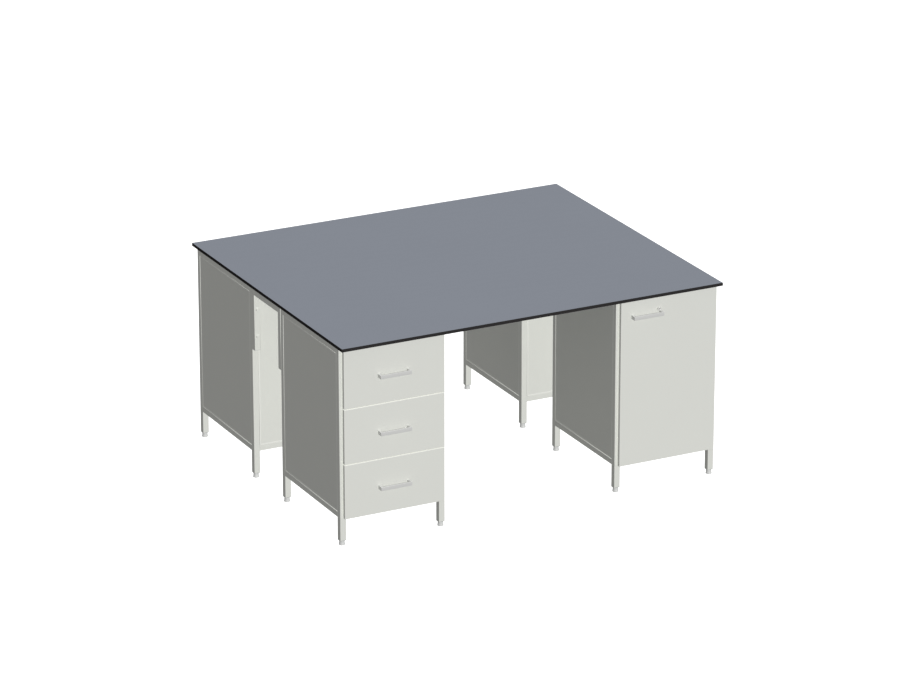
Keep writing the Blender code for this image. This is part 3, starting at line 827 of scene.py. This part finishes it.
def buildHingeLeaves(name, side, back):
    # a plate on the door's inner face, with a tongue to a knuckle above and below the frame's
    body = name + "_door"
    pivot = Vector(jointOf[body]["pos_m"])
    axisX = abs(pivot.x)
    outerFace = abs(back) - hinge["leafOffset"]
    innerFace = outerFace - hinge["leaf"]
    clear = axisX - hinge["radius"] - hinge["leafClear"]
    halfFixed = hinge["length"] / 2 + hinge["gap"]
    tall = halfFixed + hinge["doorKnuckle"]
    shape = bmesh.new()
    screws = []
    for z in hingeLevels(name):
        ends = (axisX - hinge["leafReach"], innerFace, z - tall), (clear, outerFace, z + tall)
        addBlock(shape, *quarter(side, *ends), hinge["leafEase"])
        for end in (-1, 1):
            bottom, top = sorted((z + end * halfFixed, z + end * tall))
            ends = (clear - hinge["leafLap"], innerFace, bottom), (axisX, outerFace, top)
            addBlock(shape, *quarter(side, *ends), hinge["tongueEase"])
            addKnuckle(shape, Vector((pivot.x, pivot.y, (bottom + top) / 2)), hinge["doorKnuckle"])
        for dx, dz in hinge["screws"]:
            place = Vector((side[0] * (axisX - dx), side[1] * innerFace, z + dz))
            screws.append((place, (0, -side[1], 0)))
    makePiece(body + "_hinge_leaves", shape, ("zinc",), body)
    return screws


def buildLock(name, side):
    # eased head with a keyway shown as a near-black painted shade block, barrel through the door, and a cam
    # behind it
    node = name + "_lock"
    look = {"lip": 0.001, "edge": 0.0014, "rim": 0.0026, "rimSlope": 0.0003, "dish": 0.0007, "seat": 0.0003}
    cam = {"sheet": 0.002, "half": 0.006, "ease": 0.0006}
    key = {"wide": 0.0015, "tall": 0.0070, "proud": 0.00012, "ease": 0.0001}
    low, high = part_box(node)
    pivot = Vector(jointOf[node]["pos_m"])
    out = Vector((0, side[1], 0))
    face = abs(pivot.y)
    reach = max(abs(low.y), abs(high.y)) - face
    depth = face - min(abs(low.y), abs(high.y))
    wide, edge, floor = (high.z - low.z) / 2, look["edge"], reach - look["dish"]
    slim, shoulder = wide - look["lip"], cam["sheet"] - depth
    profile = [(0, -depth), (slim * 0.5, -depth), (slim * 0.5, shoulder), (slim, shoulder)]
    profile += [(slim, look["seat"]), (wide, look["seat"])]
    profile += arc((wide - edge, reach - edge), edge, 0, 85, 4)
    profile += [(wide - look["rim"], reach), (wide - look["rim"] - look["rimSlope"], floor), (0, floor)]
    shape = bmesh.new()
    addTurned(shape, profile, pivot, out, steps=40)
    for facet in shape.faces:
        facet.smooth = abs(facet.normal.y) < 0.9
    # the keyway's darkness is painted shade: a near-black block standing just proud of the dish, not a cut
    # slot
    middle = pivot + out * floor
    slot = Vector((key["wide"] / 2, key["proud"], key["tall"] / 2))
    addBlock(shape, middle - slot, middle + slot, key["ease"], 1, material=1)
    camX = sorted((pivot.x, high.x if side[1] < 0 else low.x))
    camY = sorted((pivot.y - side[1] * (depth - cam["sheet"]), pivot.y - side[1] * depth))
    ends = (camX[0], camY[0], pivot.z - cam["half"]), (camX[1], camY[1], pivot.z + cam["half"])
    addBlock(shape, *ends, cam["ease"])
    makePiece(node + "_cylinder", shape, ("nickel", "keywayShade"), node, (node,))


def buildStrike(name, side):
    # a plate on the top rail that the turned-up cam locks behind
    look = {"wide": 0.022, "sheet": 0.0015, "drop": 0.021, "rise": 0.017, "gap": 0.0001, "ease": 0.0004}
    screw = {"rise": 0.009, "spread": 0.006}
    pivot = Vector(jointOf[name + "_lock"]["pos_m"])
    x, half = abs(pivot.x), look["wide"] / 2
    back = outerY + look["gap"]
    y = back + look["sheet"]
    shape = bmesh.new()
    ends = (x - half, back, railUnder - look["drop"]), (x + half, y, railUnder + look["rise"])
    addBlock(shape, *quarter(side, *ends), look["ease"])
    makePiece(name + "_lock_strike", shape, ("zinc",))
    screws = []
    for dx in (-screw["spread"], screw["spread"]):
        place = Vector((side[0] * (x + dx), side[1] * y, railUnder + screw["rise"]))
        screws.append((place, (0, side[1], 0)))
    return screws


def buildFeet(name):
    # turned body with a soft rim; the stem and its lock nut come from the node trees
    look = {"neck": 0.0115, "top": 0.0175, "ease": 0.0010, "sink": 0.0002}
    # how far in from the full radius the rim is, and at what height
    rim = (0.0016, 0), (0.0004, 0.0006), (0, 0.0016), (0, 0.0030), (0.00032, 0.0036), (0.0008, 0.0042)
    neck, top, ease = look["neck"], look["top"], look["ease"]
    spots = []
    for where in ("outer_open", "outer_back", "inner_open", "inner_back"):
        node = f"{name}_foot_{where}"
        low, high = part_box(node)
        centre = (low + high) / 2
        radius = (high.x - low.x) / 2
        profile = [(0, 0)] + [(radius - inset, height) for inset, height in rim]
        profile += arc((neck - ease, top - ease), ease, 0, 80, 3) + [(0, top)]
        shape = bmesh.new()
        addTurned(shape, profile, (centre.x, centre.y, 0.0), (0, 0, 1), steps=36)
        for face in shape.faces:
            face.smooth = abs(face.normal.z) < 0.95
        makePiece(node + "_pad", shape, ("foot",), "root", (node,))
        spots.append(Vector((centre.x, centre.y, top - look["sink"])))
    return spots


def buildTieFrame(name):
    # two legs and a rail, with bolts through the legs into the posts
    look = {"leg": 0.025, "rail": 0.028, "plug": 0.002, "plugEase": 0.0008, "boltDrops": (0.094, 0.216)}
    leg, rail, sink = look["leg"], look["rail"], tube["sink"]
    node = name + "_tie_frame"
    low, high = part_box(node)
    foot = low.z + look["plug"]
    shape = bmesh.new()
    bolts = []
    for end in (-1, 1):
        nearY, farY = sorted((end * high.y, end * (high.y - leg)))
        addTube(shape, (low.x, nearY, foot), (high.x, farY, high.z), "Z")
        addPlug(shape, (low.x, nearY, low.z), (high.x, farY, foot), look["plugEase"])
        for drop in look["boltDrops"]:
            place = Vector(((low.x + high.x) / 2, end * (high.y - leg), high.z - drop))
            bolts.append((place, (0, -end, 0)))
    ends = (low.x, low.y + leg - sink, high.z - rail), (high.x, high.y - leg + sink, high.z)
    addTube(shape, *ends, "Y")
    makePiece(node + "_tube", shape, ("paint", "plug"), nodes=(node,))
    return bolts


# Everything is put together here
buildWorktop()
rootScrews, footSpots, tieBolts = [], [], []
topScrewInset = 0.090  # from the outside of the frame to the screws that hold the worktop
for name, side in pedestals.items():
    buildTubeFrame(name, side)
    buildPanels(name, side)
    footSpots += buildFeet(name)
    for x in (innerX + tube["postX"] / 2, outerX - tube["postX"] / 2):
        for y in (innerY + topScrewInset, outerY - topScrewInset):
            rootScrews.append((Vector((side[0] * x, side[1] * y, railUnder)), (0, 0, -1)))
print("pedestals:", len(pedestals))
for level in drawerLevels:
    rootScrews += buildDrawer(level)
for name in cupboards:
    buildDoor(name, pedestals[name])
    buildLock(name, pedestals[name])
    rootScrews += buildStrike(name, pedestals[name])
    rootScrews += buildShelfRails(name, pedestals[name])
print("drawers and doors:", len(drawerLevels), "and", len(cupboards))
for name in ("left", "right"):
    tieBolts += buildTieFrame(name)
setOnPoints("carcass_screws", fastenerTree, rootScrews, screwSizes, "zinc")
setOnPoints("tie_frame_bolts", fastenerTree, tieBolts, boltSizes, "paint")
stemSizes = {"Radius": 0.0050, "Length": 0.0026, "Turns": 2.0, "Ridge": 0.0006}
setOnPoints("foot_stems", stemTree, [(spot, (0, 0, 1)) for spot in footSpots], stemSizes, "zinc")
nutSpots = [(Vector((spot.x, spot.y, postFoot)), (0, 0, -1)) for spot in footSpots]
setOnPoints("foot_lock_nuts", fastenerTree, nutSpots, nutSizes, "zinc")
print("fixings:", len(rootScrews), "screws,", len(tieBolts), "bolts,", len(footSpots), "feet")


# Studio
def makeFloor():
    look = {"half": 60.0, "colour": (0.86, 0.86, 0.86), "glow": 0.46}
    shape = bmesh.new()
    bmesh.ops.create_grid(shape, x_segments=4, y_segments=4, size=look["half"])
    mesh = bpy.data.meshes.new("floor")
    shape.to_mesh(mesh)
    shape.free()
    floor = bpy.data.objects.new("floor", mesh)
    finish = Finish("paleFloor", 0.9)
    mottle = finish.noise(2.0, 3.0)
    finish.set("Base Color", finish.blend(mottle, tone(look["colour"], 0.985), tone(look["colour"], 1.0)))
    finish.set("Emission Color", (1.0, 1.0, 1.0, 1.0))
    finish.set("Emission Strength", look["glow"])
    mesh.materials.append(finish.material)
    bpy.context.scene.collection.objects.link(floor)
    floor.visible_diffuse = False  # keeps the floor from throwing its white up the sides
    floor.visible_glossy = False


def addSun(name, sun):
    # shadowless; a fill light is kept out of reflections so that it can't glare along the top
    light = bpy.data.lights.new(name, "SUN")
    light.energy = sun["strength"]
    light.angle = math.radians(sun["spread"])
    light.use_shadow = False
    lamp = bpy.data.objects.new(name, light)
    lamp.visible_glossy = sun["glare"]
    lamp.rotation_mode = "QUATERNION"
    lamp.rotation_quaternion = Vector(sun["aim"]).to_track_quat("-Z", "Y")
    bpy.context.scene.collection.objects.link(lamp)


def makeStudio():
    studio = {"ambient": 0.235}
    suns = {
        "key": {"aim": (-0.06, 0.713, -0.712), "strength": 3.90, "spread": 20.0, "glare": True},
        "sideFill": {"aim": (1.0, 0.0, 0.05), "strength": 0.33, "spread": 6.0, "glare": False},
        "backFill": {"aim": (-0.60, -0.80, 0.06), "strength": 0.5, "spread": 6.0, "glare": False},
    }
    world = bpy.data.worlds.new("studio")
    world.use_nodes = True
    graph = Graph(world.node_tree)
    backdrop = world.node_tree.nodes["Background"]
    graph.feed(backdrop.inputs["Color"], (1.0, 1.0, 1.0, 1.0))
    seen = graph.add("ShaderNodeLightPath", out="Is Camera Ray")  # seen as plain white, lit by far less
    graph.feed(backdrop.inputs["Strength"], seen * (1.0 - studio["ambient"]) + studio["ambient"])
    bpy.context.scene.world = world
    bpy.context.scene.view_settings.view_transform = "Standard"
    for name, sun in suns.items():
        addSun(name, sun)


def makeCamera():
    # stands far off, so that the long edges stay almost parallel
    shot = {"place": (-8.8805, -17.3774, 7.7315), "aim": (0.0993, 0.2363, 0.4500), "lens": 192.26}
    data = bpy.data.cameras.new("camera")
    data.lens = shot["lens"]
    data.sensor_width = 36.0
    data.clip_end = 200.0
    camera = bpy.data.objects.new("camera", data)
    camera.location = shot["place"]
    aim = Vector(shot["aim"]) - Vector(shot["place"])
    camera.rotation_mode = "QUATERNION"
    camera.rotation_quaternion = aim.to_track_quat("-Z", "Y")
    bpy.context.scene.collection.objects.link(camera)
    bpy.context.scene.camera = camera


makeFloor()
makeStudio()
makeCamera()
print("studio ready")
